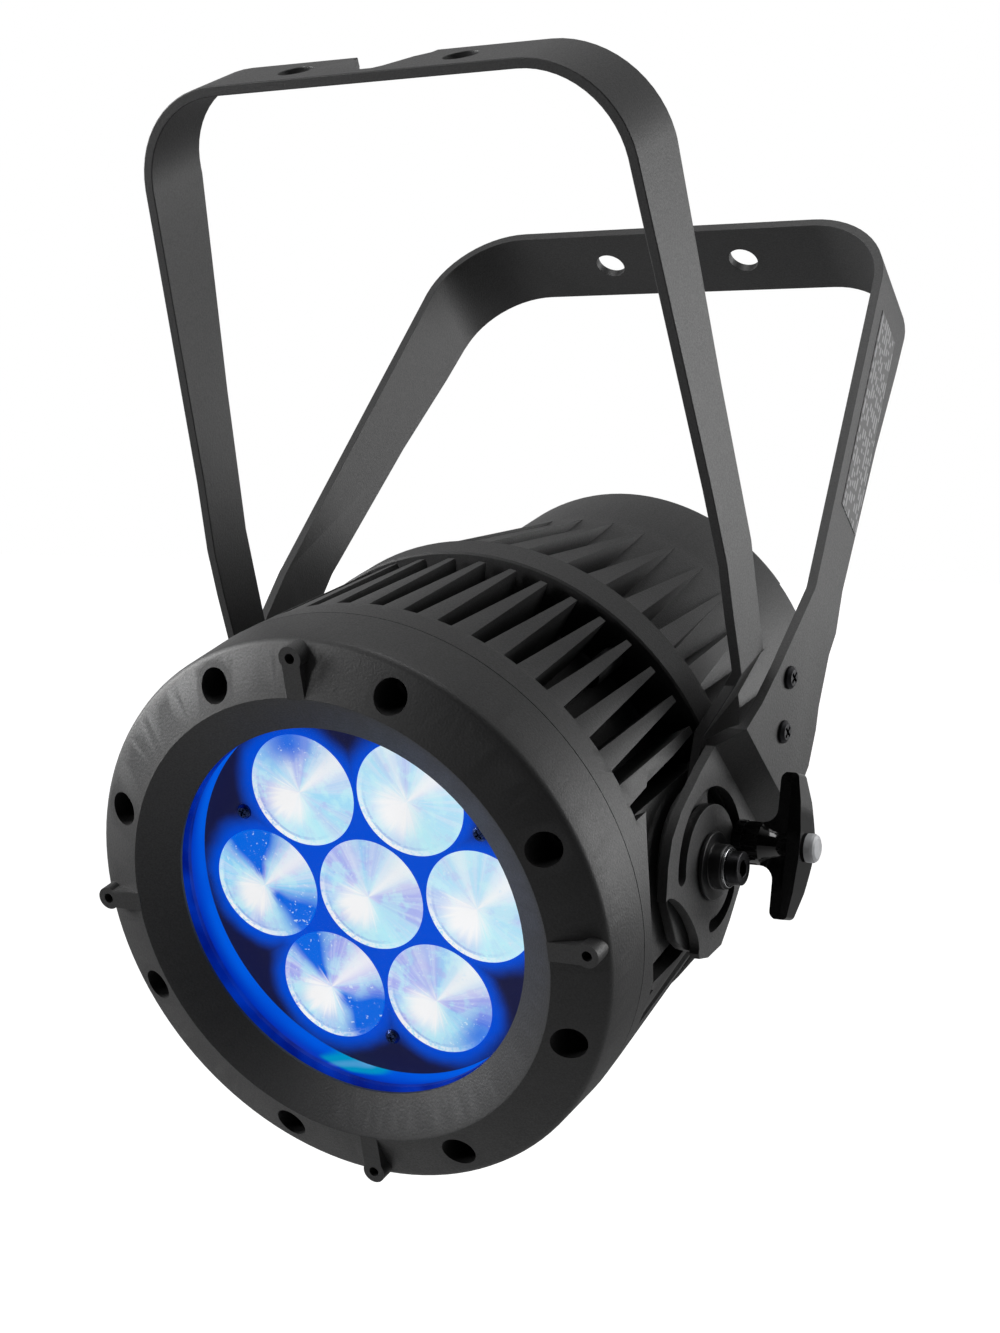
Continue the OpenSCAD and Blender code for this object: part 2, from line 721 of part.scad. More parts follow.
module board_pillars() {
    floor_back = floor_at + floor_t;
    color("#b9bbbe") at_optics() for (a = corner_angles) round_axis(a, board_fix_r) {
        translate([0, 0, floor_back]) cylinder(r = 3.5, h = driver_at - floor_back);
        translate([0, 0, driver_at]) cylinder(r = 1.6, h = pcb_t);
        translate([0, 0, driver_at + pcb_t]) cylinder(r = 3.5, h = supply_at - driver_at - pcb_t);
    }
}

// Cased mains supply on a round tray
module power_supply() {
    color("#a9abad") at_optics(supply_at) difference() {
        union() {
            cylinder(r = 74, h = 2);
            translate([-54, -34, 0]) cube([108, 68, 42]);
        }
        translate([-51, -31, 2]) cube([102, 62, 37]);
        for (x = [-44 : 11 : 44]) translate([x - 2, -40, 10]) cube([4, 80, 24]);
        for (a = corner_angles) round_axis(a, board_fix_r)
            translate([0, 0, -1]) cylinder(r = 1.6, h = 4);
    }
}

// ---------------------------------------------------------------- rear panel

module control_board() {
    color("#1e4a33") at_optics(board_at) difference() {
        union() {
            translate([-40, -44, 0]) cube([80, 52, pcb_t]);
            translate([-26, -38, pcb_t]) cube([52, 24, 7]);
            for (x = button_x) translate([x - 3, button_y - 3, pcb_t]) cube([6, 6, 4]);
        }
        for (p = board_corners) translate([p[0], p[1], -1]) cylinder(r = 1.2, h = 4);
    }
}

module rear_panel() {
    color("#3e3f41") at_optics(panel_at) difference() {
        union() {
            cylinder(r = 78.1, h = panel_t);
            for (p = board_corners) translate([p[0], p[1], board_at + pcb_t - panel_at])
                cylinder(r = 3, h = panel_at - board_at - pcb_t);
        }
        translate([-24, -37, -1]) cube([48, 22, 6]);
        for (x = button_x) translate([x, button_y, -1]) cylinder(r = button_r + body_gap, h = 6);
        for (p = socket_places) translate([p[0], p[1], -1]) cylinder(r = p[2] + 0.1, h = 6);
        translate([0, vent_y, -1]) cylinder(r = 5, h = 6);
        translate([0, eye_y, -1]) cylinder(r = 4, h = 6);
        for (a = panel_screw_angles) round_axis(a, panel_screw_r)
            translate([0, 0, -1]) cylinder(r = m3_r, h = 6);
    }
}

module panel_seal() {
    color("#161616") at_optics(panel_at - seal_t) ring(77.8, 76.4, seal_t);
}

module panel_screws() {
    color("#8b8d92") at_optics(panel_at + panel_t)
        for (a = panel_screw_angles) round_axis(a, panel_screw_r) pan_screw(2.9, 1.7, m3_r, 10);
}

module display_window() {
    color("#0c1018") at_optics(panel_at) {
        translate([-26.5, -39.5, -1.2]) cube([53, 27, 1.2]);
        translate([-23.8, -36.8, 0]) cube([47.6, 21.6, panel_t + 0.3]);
    }
}

// Round panel socket: flange on the panel, deep cup behind it
module socket(p, flange_side) {
    cup_r = p[2];
    at_optics(panel_at + panel_t) translate([p[0], p[1], 0]) difference() {
        union() {
            translate([-flange_side / 2, -flange_side / 2, 0]) cube([flange_side, flange_side, 2]);
            translate([0, 0, -14]) cylinder(r = cup_r, h = 22);
        }
        translate([0, 0, -8]) cylinder(r = cup_r - 2, h = 20);
    }
}

module power_inlet() { color("#2b3f6b") socket(socket_places[0], 26); }
module power_outlet() { color("#8d9094") socket(socket_places[3], 26); }
module data_inlet() { color("#1c1c1e") socket(socket_places[1], 22); }
module data_outlet() { color("#1c1c1e") socket(socket_places[2], 22); }

// Three contacts in each power socket and five in each data socket
module socket_contacts() {
    color("#b08d4a") at_optics(panel_at + panel_t) for (p = socket_places) {
        pins = p[2] > 10 ? 3 : 5;
        for (i = [0 : pins - 1]) translate([p[0], p[1], -8]) rotate([0, 0, 360 / pins * i])
            translate([p[2] * 0.42, 0, 0]) cylinder(r = 1.2, h = 9);
    }
}

module vent_plug() {
    color("#2a2a2c") at_optics(panel_at + panel_t) translate([0, vent_y, 0]) {
        cylinder(r = 8, h = 3, $fn = 6);
        translate([0, 0, 3]) cylinder(r = 5.5, h = 2);
        translate([0, 0, -5]) cylinder(r = 5, h = 5);
    }
}

// Closed ring for the safety cable
module safety_eye() {
    color("#b7b9bc") at_optics(panel_at + panel_t) translate([0, eye_y, 0]) {
        translate([0, 0, -7]) cylinder(r = 4, h = 7);
        cylinder(r = 7, h = 2.4);
        translate([0, 0, 13]) rotate([0, 90, 0]) rotate_extrude() translate([9, 0]) circle(r = 2.5);
    }
}

// Cap with a collar behind the panel and a stem down to its switch
module panel_button(x) {
    color("#1a1a1c") at_optics(panel_at) translate([x, button_y, 0]) {
        translate([0, 0, -5.3]) cylinder(r = 2, h = 5);
        translate([0, 0, -1.3]) cylinder(r = button_r + 1.5, h = 1);
        translate([0, 0, -1.3]) cylinder(r = button_r, h = 6.5);
    }
}

module button_menu() { panel_button(button_x[0]); }
module button_down() { panel_button(button_x[1]); }
module button_up() { panel_button(button_x[2]); }
module button_enter() { panel_button(button_x[3]); }

// ---------------------------------------------------------------- knobs

// Half of the bar's outline: [along the bar, out from the housing]
bar_half_l = knob_l / 2;
bar_half = concat(
    [for (t = [0 : 15 : 90]) [14 - 5.5 * cos(t), bar_x - 5.5 + 5.5 * sin(t)]],
    [for (t = [-90 : 15 : 0]) [bar_half_l - 3 + 3 * cos(t), bar_x + 3 + 3 * sin(t)]],
    [for (t = [0 : 15 : 90]) [bar_half_l - 2 + 2 * cos(t), bar_end_x - 2 + 2 * sin(t)]],
    [[bar_half_l * 0.62, bar_top_x - 0.9], [6, bar_top_x]]);
bar_outline = concat(bar_half, reversed([for (p = bar_half) [-p[0], p[1]]]));

// Y runs along the bar, Z outwards
module bar_prism(width) {
    rotate([90, 0, 90]) linear_extrude(height = width, center = true) polygon(bar_outline);
}

module knob_shape() {
    face_half = knob_t / 2;
    end_half = 3.8;
    face_side = [for (u = [-1 : 0.125 : 1])
        [end_half + (face_half - end_half) * cos(90 * u), bar_half_l * u]];
    // Thin wings behind a lozenge-shaped face
    bar_prism(6.4);
    intersection() {
        bar_prism(knob_t + 4);
        translate([0, 0, bar_end_x - 3]) linear_extrude(height = 20)
            polygon(concat(face_side, reversed([for (p = face_side) [-p[0], p[1]]])));
    }
    // Neck from the hub to the face
    rotate_extrude() polygon([[0, bar_x - 5.5], [8.5, bar_x - 5.5], [6.6, bar_x - 2.5], [5.6, bar_x + 1],
        [5.6, bar_x + 3], [6.4, bar_x + 5.5], [face_half, bar_end_x - 2], [0, bar_end_x - 2]]);
    // Ribbed hub
    difference() {
        translate([0, 0, knob_x]) cylinder(r = 8.5, h = bar_x - 5.5 - knob_x);
        for (i = [0 : 11]) rotate([0, 0, 30 * i + 15]) translate([8.9, 0, knob_x - 1])
            cylinder(r = 1.1, h = 6.5, $fn = 24);
    }
}

// Knob frame: Z out along the pivot axis, Y along the cross bar
module at_knob() {
    at_lamp() on_knob(0) rotate([0, 0, -knob_turn]) children();
}

module knob_body() {
    color("#0b0b0c") difference() {
        knob_shape();
        translate([0, 0, knob_x - 1]) cylinder(r = stud_r, h = 13);
    }
}

module knob_stud() {
    color("#8d8f93") translate([0, 0, 89]) cylinder(r = stud_r, h = knob_x + 12 - 89);
}

// Serrated locking washer pair under the hub
module knob_washer() {
    color("#141415") translate([0, 0, bush_x]) difference() {
        cylinder(r = 8.8, h = knob_x - bush_x);
        translate([0, 0, -1]) cylinder(r = stud_r, h = 10);
        for (i = [0 : 17]) rotate([0, 0, 20 * i]) translate([9.3, 0, 1.2]) cylinder(r = 1, h = 5, $fn = 24);
    }
}

module knob_cap() {
    color("#c9cacb") translate([0, 0, bar_top_x]) rotate_extrude()
        polygon([[0, 0], [5.7, 0], [5.7, 2.4], [5.2, 3.4], [4, 4], [0, 4]]);
}

module knob_right() { at_knob() knob_body(); }
module knob_right_stud() { at_knob() knob_stud(); }
module knob_right_washer() { at_knob() knob_washer(); }
module knob_right_cap() { at_knob() knob_cap(); }
module knob_left() { mirror([1, 0, 0]) at_knob() knob_body(); }
module knob_left_stud() { mirror([1, 0, 0]) at_knob() knob_stud(); }
module knob_left_washer() { mirror([1, 0, 0]) at_knob() knob_washer(); }
module knob_left_cap() { mirror([1, 0, 0]) at_knob() knob_cap(); }

outer_yoke();
yoke_nut_plates();
yoke_screws();
rating_label();
inner_yoke();
inner_yoke_discs();
front_bezel();
bezel_screws();
window_glass();
window_gasket();
front_housing();
pivot_bolts();
pivot_bushes();
pivot_washers();
pad_discs();
inner_barrel();
led_board();
led_emitters();
guide_rods();
zoom_motor();
lead_screw();
lens_plate();
zoom_lenses();
lead_nut();
guide_bushes();
carriage_screws();
housing_seal();
rear_cover();
rear_cover_screws();
driver_board();
power_supply();
board_pillars();
control_board();
rear_panel();
panel_seal();
panel_screws();
display_window();
power_inlet();
power_outlet();
data_inlet();
data_outlet();
socket_contacts();
vent_plug();
safety_eye();
button_menu();
button_down();
button_up();
button_enter();
knob_right();
knob_right_stud();
knob_right_washer();
knob_right_cap();
knob_left();
knob_left_stud();
knob_left_washer();
knob_left_cap();
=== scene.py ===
import json
import math

import bmesh
import bpy
from mathutils import Matrix, Vector


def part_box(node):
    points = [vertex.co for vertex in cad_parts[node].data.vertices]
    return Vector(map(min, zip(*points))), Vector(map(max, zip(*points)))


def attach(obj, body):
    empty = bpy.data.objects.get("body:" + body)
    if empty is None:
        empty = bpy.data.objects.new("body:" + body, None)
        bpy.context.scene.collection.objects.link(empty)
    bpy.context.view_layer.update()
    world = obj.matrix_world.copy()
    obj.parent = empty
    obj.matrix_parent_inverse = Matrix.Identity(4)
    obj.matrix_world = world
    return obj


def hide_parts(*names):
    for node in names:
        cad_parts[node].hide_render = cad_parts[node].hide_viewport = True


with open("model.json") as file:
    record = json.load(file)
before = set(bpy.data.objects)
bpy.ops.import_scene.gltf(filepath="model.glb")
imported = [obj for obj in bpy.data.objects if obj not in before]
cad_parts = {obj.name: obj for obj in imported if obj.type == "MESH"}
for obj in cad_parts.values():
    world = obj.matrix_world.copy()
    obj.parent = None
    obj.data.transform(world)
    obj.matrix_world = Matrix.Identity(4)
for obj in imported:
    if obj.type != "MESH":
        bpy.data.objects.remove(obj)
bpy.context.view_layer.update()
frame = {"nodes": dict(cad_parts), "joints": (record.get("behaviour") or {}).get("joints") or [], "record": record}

MM = 0.001
NODES = frame["nodes"]
RECORD = frame["record"]
JOINTS = {joint["name"]: joint for joint in frame["joints"]}
SLOT_OF = {part["node"]: part["material_slot"] for part in RECORD["subparts"]}
BODY_OF = {
    node: body
    for body, nodes in RECORD["behaviour"]["bodies"].items()
    for node in nodes
}

# The lamp's own directions: across, to the rear along the optical axis, and up
ACROSS = Vector((1, 0, 0))
REAR = Vector(JOINTS["zoom_slide"]["axis"]).normalized()
RISE = ACROSS.cross(REAR)
TILT = math.atan2(REAR.z, REAR.y)
PIVOT = Vector(JOINTS["lamp_tilt"]["pos_m"])
LENS_AXES = Matrix((ACROSS, RISE, -REAR)).transposed()    # local Z looks out of the window


def middle(node):
    low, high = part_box(node)
    return (low + high) / 2


AXIS_POINT = middle("window_glass")
# Up the outer yoke, from the pivot to its top
ARM_DIRECTION = Vector((0, -PIVOT.y, -PIVOT.z)).normalized()

LENS_R = 22.75 * MM
LENS_PITCH = 47.5 * MM      # from the middle lens to each of the six round it
LENS_RISE = 2.4 * MM        # from the plane of a lens's rim to the front of its CAD solid
OUTER_LENSES = 6

WELD = 0.002 * MM           # points closer than this become one
FLAT_DEGREES = 0.6          # faces that fold by less than this are merged
FOLD_DEGREES = 32           # edges that fold by more than this are rounded
ROUND_STEPS = 96            # faces round a surface of revolution


# ---------------------------------------------------------------- mesh helpers

def link_new(name, mesh):
    piece = bpy.data.objects.new(name, mesh)
    bpy.context.scene.collection.objects.link(piece)
    return piece


def smooth_by_angle(mesh, degrees):
    """Smooth faces everywhere, with edges kept sharp where they fold by more than this."""
    bm = bmesh.new()
    bm.from_mesh(mesh)
    for face in bm.faces:
        face.smooth = True
    for edge in bm.edges:
        joined = len(edge.link_faces) == 2
        edge.smooth = joined and edge.calc_face_angle(0) < math.radians(degrees)
    bm.to_mesh(mesh)
    bm.free()


def softened(node, width, segments):
    """A copy of a CAD node with its edges rounded. It stands for that node."""
    mesh = NODES[node].data.copy()
    mesh.materials.clear()
    bm = bmesh.new()
    bm.from_mesh(mesh)
    bmesh.ops.remove_doubles(bm, verts=bm.verts, dist=WELD)
    bmesh.ops.dissolve_limit(bm, angle_limit=math.radians(FLAT_DEGREES),
                             verts=bm.verts, edges=bm.edges)
    bm.to_mesh(mesh)
    bm.free()
    smooth_by_angle(mesh, FOLD_DEGREES)
    piece = link_new(node + "_finished", mesh)
    bevel = piece.modifiers.new("edges", "BEVEL")
    bevel.width = width
    bevel.segments = segments
    bevel.limit_method = "ANGLE"
    bevel.angle_limit = math.radians(FOLD_DEGREES)
    bevel.miter_outer = "MITER_ARC"
    bevel.harden_normals = True
    bevel.use_clamp_overlap = True
    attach(piece, BODY_OF[node])
    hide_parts(node)
    return piece


def islands(node):
    """The separate solids of a node, from left to right and from low to high.

    Each is (middle, radius across the optical axis, front, back).
    """
    bm = bmesh.new()
    bm.from_mesh(NODES[node].data)
    bmesh.ops.remove_doubles(bm, verts=bm.verts, dist=WELD)
    unvisited = set(bm.verts)
    found = []
    while unvisited:
        stack = [unvisited.pop()]
        members = []
        while stack:
            vertex = stack.pop()
            members.append(vertex.co.copy())
            for edge in vertex.link_edges:
                other = edge.other_vert(vertex)
                if other in unvisited:
                    unvisited.remove(other)
                    stack.append(other)
        spans = []
        centre = Vector()
        for axis in (ACROSS, REAR, RISE):
            values = [co.dot(axis) for co in members]
            spans.append((min(values), max(values)))
            centre += axis * sum(spans[-1]) / 2
        (low, high), (front, back), _ = spans
        found.append((centre, (high - low) / 2, front, back))
    bm.free()
    return sorted(found, key=lambda solid: (round(solid[0].x, 4), round(solid[0].z, 4)))


def revolved(name, profile):
    """A surface of revolution round local Z from (radius, height, material number) points."""
    bm = bmesh.new()
    angles = [2 * math.pi * i / ROUND_STEPS for i in range(ROUND_STEPS)]
    rings = []
    for radius, height, _ in profile:
        if radius > 0:
            rings.append([bm.verts.new((radius * math.cos(angle), radius * math.sin(angle), height))
                          for angle in angles])
        else:
            rings.append([bm.verts.new((0, 0, height))] * ROUND_STEPS)
    for first, second, (_, _, material_number) in zip(rings, rings[1:], profile[1:]):
        for i in range(ROUND_STEPS):
            j = (i + 1) % ROUND_STEPS
            # A ring at the axis has one point, so its faces have three corners
            corners = list(dict.fromkeys((first[i], first[j], second[j], second[i])))
            face = bm.faces.new(corners)
            face.material_index = material_number
    bmesh.ops.recalc_face_normals(bm, faces=bm.faces)
    mesh = bpy.data.meshes.new(name)
    bm.to_mesh(mesh)
    bm.free()
    smooth_by_angle(mesh, 40)
    return link_new(name, mesh)


# ---------------------------------------------------------------- material helpers

WHITE = (1, 1, 1, 1)


class Look:
    """One material and short ways to add nodes to it."""

    def __init__(self, name, **shader):
        self.material = bpy.data.materials.new(name)
        self.material.use_nodes = True
        self.tree = self.material.node_tree
        self.shader = self.tree.nodes["Principled BSDF"]
        for key, value in shader.items():
            self.shader.inputs[key.replace("_", " ")].default_value = value

    def node(self, kind, **values):
        made = self.tree.nodes.new(kind)
        for key, value in values.items():
            setattr(made, key, value)
        return made

    def join(self, source, target):
        self.tree.links.new(source, target)

    def feed(self, value, socket):
        """Link a node's output to a socket, or set a plain value on it."""
        if isinstance(value, bpy.types.NodeSocket):
            self.join(value, socket)
        else:
            socket.default_value = value

    def shade(self, name, source):
        """Link a node's output to the shader's socket of this name."""
        self.join(source, self.shader.inputs[name])

    def coordinates(self):
        return self.node("ShaderNodeTexCoord").outputs["Object"]

    def lamp_coordinates(self):
        """Object coordinates turned into the lamp's own: X across, Y to the rear, Z up."""
        mapping = self.node("ShaderNodeMapping", vector_type="TEXTURE")
        mapping.inputs["Location"].default_value = AXIS_POINT
        mapping.inputs["Rotation"].default_value = (TILT, 0, 0)
        self.join(self.coordinates(), mapping.inputs["Vector"])
        return mapping.outputs["Vector"]

    def noise(self, where, scale, detail=2.0, roughness=0.5):
        made = self.node("ShaderNodeTexNoise")
        made.inputs["Scale"].default_value = scale
        made.inputs["Detail"].default_value = detail
        made.inputs["Roughness"].default_value = roughness
        self.join(where, made.inputs["Vector"])
        return made.outputs["Fac"]

    def math(self, operation, *values):
        made = self.node("ShaderNodeMath", operation=operation)
        for socket, value in zip(made.inputs, values):
            self.feed(value, socket)
        return made.outputs[0]

    def times(self, first, second):
        return self.math("MULTIPLY", first, second)

    def plus(self, first, second):
        return self.math("ADD", first, second)

    def less(self, first, second):
        return self.math("SUBTRACT", first, second)

    def vector(self, operation, *values):
        made = self.node("ShaderNodeVectorMath", operation=operation)
        for socket, value in zip(made.inputs, values):
            self.feed(value, socket)
        return made.outputs["Value" if operation in ("DOT_PRODUCT", "LENGTH") else "Vector"]

    def remap(self, value, low, high, out_low=0.0, out_high=1.0):
        """Ease a value from one range to another. A low above its high turns it round."""
        made = self.node("ShaderNodeMapRange", interpolation_type="SMOOTHSTEP")
        made.inputs["From Min"].default_value = low
        made.inputs["From Max"].default_value = high
        made.inputs["To Min"].default_value = out_low
        made.inputs["To Max"].default_value = out_high
        self.join(value, made.inputs["Value"])
        return made.outputs["Result"]

    def mix(self, factor, first, second):
        made = self.node("ShaderNodeMix", data_type="RGBA")
        self.feed(factor, made.inputs["Factor"])
        colours = [socket for socket in made.inputs if socket.type == "RGBA"]
        for socket, value in zip(colours, (first, second)):
            self.feed(value, socket)
        return next(socket for socket in made.outputs if socket.type == "RGBA")

    def bump(self, height, distance, strength):
        made = self.node("ShaderNodeBump")
        made.inputs["Strength"].default_value = strength
        made.inputs["Distance"].default_value = distance
        self.join(height, made.inputs["Height"])
        self.shade("Normal", made.outputs["Normal"])


def grey(value):
    """A near neutral grey with a trace of blue."""
    return (value, value, value * 1.02, 1)


def toned(colour, share):
    """A colour made darker or lighter."""
    return tuple(min(1, part * share) for part in colour) + (1,)


def powder_coat(name, tone, roughness, grain=1.0):
    """Fine-textured matte powder coat: speckle, faint clouding, and a pebbled surface."""
    look = Look(name, Specular_IOR_Level=0.5)
    where = look.coordinates()
    speckle = look.noise(where, 1500, 2.0, 0.6)
    cloud = look.noise(where, 14, 3.0)
    base = look.mix(look.remap(speckle, 0.3, 0.7), grey(tone * 0.8), grey(tone * 1.25))
    base = look.mix(look.remap(cloud, 0.3, 0.7, 0.0, 0.35), base, grey(tone * 1.15))
    look.shade("Base Color", base)
    look.shade("Roughness", look.remap(speckle, 0.2, 0.8, roughness + 0.08, roughness - 0.06))
    pebbles = look.noise(where, 1100, 1.0, 0.4)
    look.bump(pebbles, 0.12 * MM * grain, 0.55)
    return look.material


def moulded(name, colour, roughness):
    """Moulded plastic or rubber: slight clouding and a very fine skin."""
    look = Look(name)
    where = look.coordinates()
    cloud = look.noise(where, 120, 3.0)
    skin = look.noise(where, 900, 2.0)
    look.shade("Base Color",
               look.mix(look.remap(cloud, 0.3, 0.7), toned(colour, 0.8), toned(colour, 1.2)))
    look.shade("Roughness", look.remap(cloud, 0.25, 0.75, roughness - 0.05, roughness + 0.07))
    look.bump(skin, 0.04 * MM, 0.5)
    return look.material


def metal(name, colour, roughness):
    """Bare or plated metal with fine turning marks and handling haze."""
    look = Look(name, Metallic=1.0)
    where = look.coordinates()
    haze = look.noise(where, 200, 3.0)
    marks = look.noise(where, 2400, 1.0)
    look.shade("Base Color",
               look.mix(look.remap(haze, 0.3, 0.7), toned(colour, 0.85), toned(colour, 1.0)))
    look.shade("Roughness", look.remap(marks, 0.3, 0.7, roughness - 0.05, roughness + 0.1))
    look.bump(marks, 0.02 * MM, 0.4)
    return look.material


def high_gloss(name, tone):
    """Polished black moulding with a faint waviness and fine rub marks."""
    look = Look(name, Specular_IOR_Level=0.9)
    where = look.coordinates()
    wave = look.noise(where, 90, 1.0)
    rub = look.noise(where, 700, 3.0)
    look.shade("Base Color", look.mix(look.remap(rub, 0.4, 0.8), grey(tone), grey(tone * 1.6)))
    look.shade("Roughness", look.remap(rub, 0.3, 0.8, 0.08, 0.16))
    look.bump(wave, 0.2 * MM, 0.2)
    return look.material


def clear_window():
    """Toughened glass: almost wholly see-through, with faint smears that catch the light."""
    look = Look("window", Roughness=0.04, IOR=1.5, Specular_IOR_Level=0.1)
    smear = look.noise(look.coordinates(), 40, 3.0)
    look.shade("Base Color", look.mix(look.remap(smear, 0.3, 0.8),
                                      (0.0, 0.01, 0.05, 1), (0.01, 0.03, 0.1, 1)))
    look.shade("Alpha", look.remap(smear, 0.2, 0.9, 0.03, 0.07))
    return look.material


def glowing_lens(name, wedge_blue, rim_blue, low_blue, wash, wedge_at):
    """Moulded zoom lens lit from behind: an off-centre hot spot, spokes, and a blue rim.

    The three blues say how much blue shows near the middle, at the top of the rim and
    low on the right. wash says how pale the lens is, and wedge_at where its blue wedge
    points, in degrees from the right.
    """
    look = Look(name, Roughness=0.15, Specular_IOR_Level=0.1, Emission_Strength=0.97,
                Base_Color=(0.02, 0.03, 0.06, 1))
    where = look.vector("MULTIPLY", look.coordinates(), (1 / LENS_R, 1 / LENS_R, 0))
    radius = look.vector("LENGTH", where)       # 1 at the edge of the lens
    spoke = look.vector("NORMALIZE", where)

    # Each lens gets its own part of every pattern
    seed = 3.1 * wedge_blue + 1.7 * rim_blue + 0.9 * low_blue + 5 * wash
    on_spoke = look.vector("ADD", spoke, (0, 0, seed))
    on_face = look.vector("ADD", where, (0, 0, seed))
    fine = look.noise(on_spoke, 7, 4.0, 0.65)
    broad = look.noise(look.vector("ADD", spoke, (0, 0, 2.3 + seed)), 1.6, 1.0)
    blotch = look.noise(on_face, 2.6, 4.0, 0.6)
    speck = look.noise(on_face, 13, 3.0, 0.7)

    def towards(degrees, power):
        """1 along this direction from the middle, and narrower with more power."""
        aim = (math.cos(math.radians(degrees)), math.sin(math.radians(degrees)), 0)
        facing = look.math("MAXIMUM", look.vector("DOT_PRODUCT", spoke, aim), 0.0)
        return look.math("POWER", facing, power)

    def total(first, *others):
        """A sum that stops at 1."""
        for other in others:
            first = look.plus(first, other)
        return look.math("MINIMUM", first, 1.0)

    tone = look.mix(look.remap(broad, 0.38, 0.6), (0.40, 0.42, 0.92, 1), (0.33, 0.74, 1, 1))
    tone = look.mix(look.remap(fine, 0.4, 0.68, 0.0, 0.7), tone, (0.72, 0.80, 1, 1))
    tone = look.mix(look.remap(blotch, 0.48, 0.6, 0.0, 0.6), tone, (0.55, 0.95, 1, 1))
    tone = look.mix(look.remap(blotch, 0.42, 0.34, 0.0, 0.5), tone, (0.42, 0.40, 0.9, 1))
    tone = look.mix(0.42 * wash, tone, (0.70, 0.93, 1, 1))

    # Cyan cast low down, and bright spokes up to the right, up to the left and down to the left
    tone = look.mix(look.times(towards(-78, 5), 0.6), tone, (0.55, 0.97, 1, 1))
    shine = total(towards(38, 16),
                  look.times(towards(108, 60), 0.55 * (1 - wedge_blue)),
                  look.times(towards(222, 4), look.remap(radius, 0.95, 0.2)))
    tone = look.mix(look.times(shine, 0.85), tone, WHITE)

    # Painted blue light in wedges near the middle, and a painted reflection of the blue chamber where the rim
    # faces it
    wedges = look.times(total(towards(wedge_at, 13), look.times(towards(-38, 8), 0.9)),
                        look.remap(radius, 0.02, 0.3))
    rims = look.times(towards(100, 4), look.remap(radius, 0.3, 0.85))
    lows = look.times(towards(-40, 3), look.remap(radius, 0.45, 0.9))
    blue = total(look.times(wedges, 1.15 * wedge_blue),
                 look.times(rims, rim_blue),
                 look.times(lows, low_blue))
    broken = look.plus(blotch, look.times(blue, 0.3))
    blue = look.times(blue, look.remap(broken, 0.45, 0.6, 0.45, 1.0))
    tone = look.mix(blue, tone, (0.0, 0.14, 0.80, 1))
    specks = look.times(look.remap(speck, 0.62, 0.68), 0.7)
    tone = look.mix(specks, tone, (0.75, 0.9, 1, 1))

    # Hot spot below and to the left of the middle
    off = look.vector("LENGTH", look.vector("SUBTRACT", where, (-0.27, -0.2, 0)))
    ragged = look.plus(off, look.times(look.less(fine, 0.5), 0.7))
    tone = look.mix(look.remap(ragged, 0.5 + 0.12 * wash, 0.14), tone, WHITE)

    # Broken highlight inside the lower left rim, with a darker band beside it
    arc = look.times(towards(228, 2.2), look.remap(speck, 0.4, 0.5))
    dark_band = look.times(look.remap(radius, 0.83, 0.86), look.remap(radius, 0.91, 0.88))
    tone = look.mix(look.times(look.times(dark_band, arc), 0.5), tone, (0.25, 0.3, 0.75, 1))
    tone = look.mix(look.times(look.remap(radius, 0.89, 0.92), arc), tone, WHITE)
    look.shade("Emission Color", tone)
    return look.material


def lens_edge():
    """Rim of a lens: cyan, with white glints."""
    look = Look("lens_edge", Roughness=0.15, Emission_Strength=1.0)
    glint = look.remap(look.noise(look.coordinates(), 160), 0.4, 0.6)
    look.shade("Emission Color", look.mix(glint, (0.25, 0.7, 1, 1), WHITE))
    return look.material


def lens_skirt():
    """Side and back of a lens, full of blue light."""
    look = Look("lens_skirt", Roughness=0.2, Emission_Strength=1.4)
    cloud = look.noise(look.coordinates(), 300)
    look.shade("Emission Color", look.mix(cloud, (0, 0.10, 0.85, 1), (0, 0.18, 1, 1)))
    look.shade("Base Color", look.mix(cloud, (0.02, 0.1, 0.5, 1), (0.05, 0.2, 0.8, 1)))
    return look.material


def lit_barrel():
    """Inside wall of the lit chamber, its blue light painted in as glow: dark by the window, brighter towards the
    lenses.

    A darker line runs round the painted glow near the window, and it has a few painted glints.
    """
    look = Look("barrel_blue", Roughness=0.3, Specular_IOR_Level=0.1, Emission_Strength=1.0)
    where = look.lamp_coordinates()
    depth = look.vector("DOT_PRODUCT", where, (0, 1, 0))    # behind the window's middle
    patch = look.noise(where, 28, 2.0)
    glint = look.noise(where, 26, 1.0)
    # Painted blue light: darker by the window, brighter towards the lenses, in faint patches
    tone = look.mix(look.remap(depth, 5.5 * MM, 14.5 * MM),
                    (0.0, 0.022, 0.43, 1), (0.0, 0.115, 0.80, 1))
    tone = look.mix(look.remap(patch, 0.4, 0.7, 0.0, 0.35), tone, (0.0, 0.05, 0.6, 1))
    # A darker line in the painted light near the window
    line = look.times(look.remap(depth, 4.5 * MM, 5.3 * MM), look.remap(depth, 6.6 * MM, 5.8 * MM))
    tone = look.mix(look.times(line, 0.9), tone, (0.0, 0.003, 0.15, 1))
    # Painted glints, cyan deeper in and paler anywhere
    inner = look.times(look.remap(glint, 0.68, 0.72), look.remap(depth, 7 * MM, 9 * MM))
    tone = look.mix(look.times(inner, 0.8), tone, (0.0, 0.36, 0.55, 1))
    tone = look.mix(look.remap(glint, 0.73, 0.76, 0.0, 0.7), tone, (0.3, 0.5, 1, 1))
    look.shade("Emission Color", tone)
    look.shade("Base Color", look.mix(patch, (0.0, 0.005, 0.03, 1), (0.0, 0.01, 0.06, 1)))
    return look.material


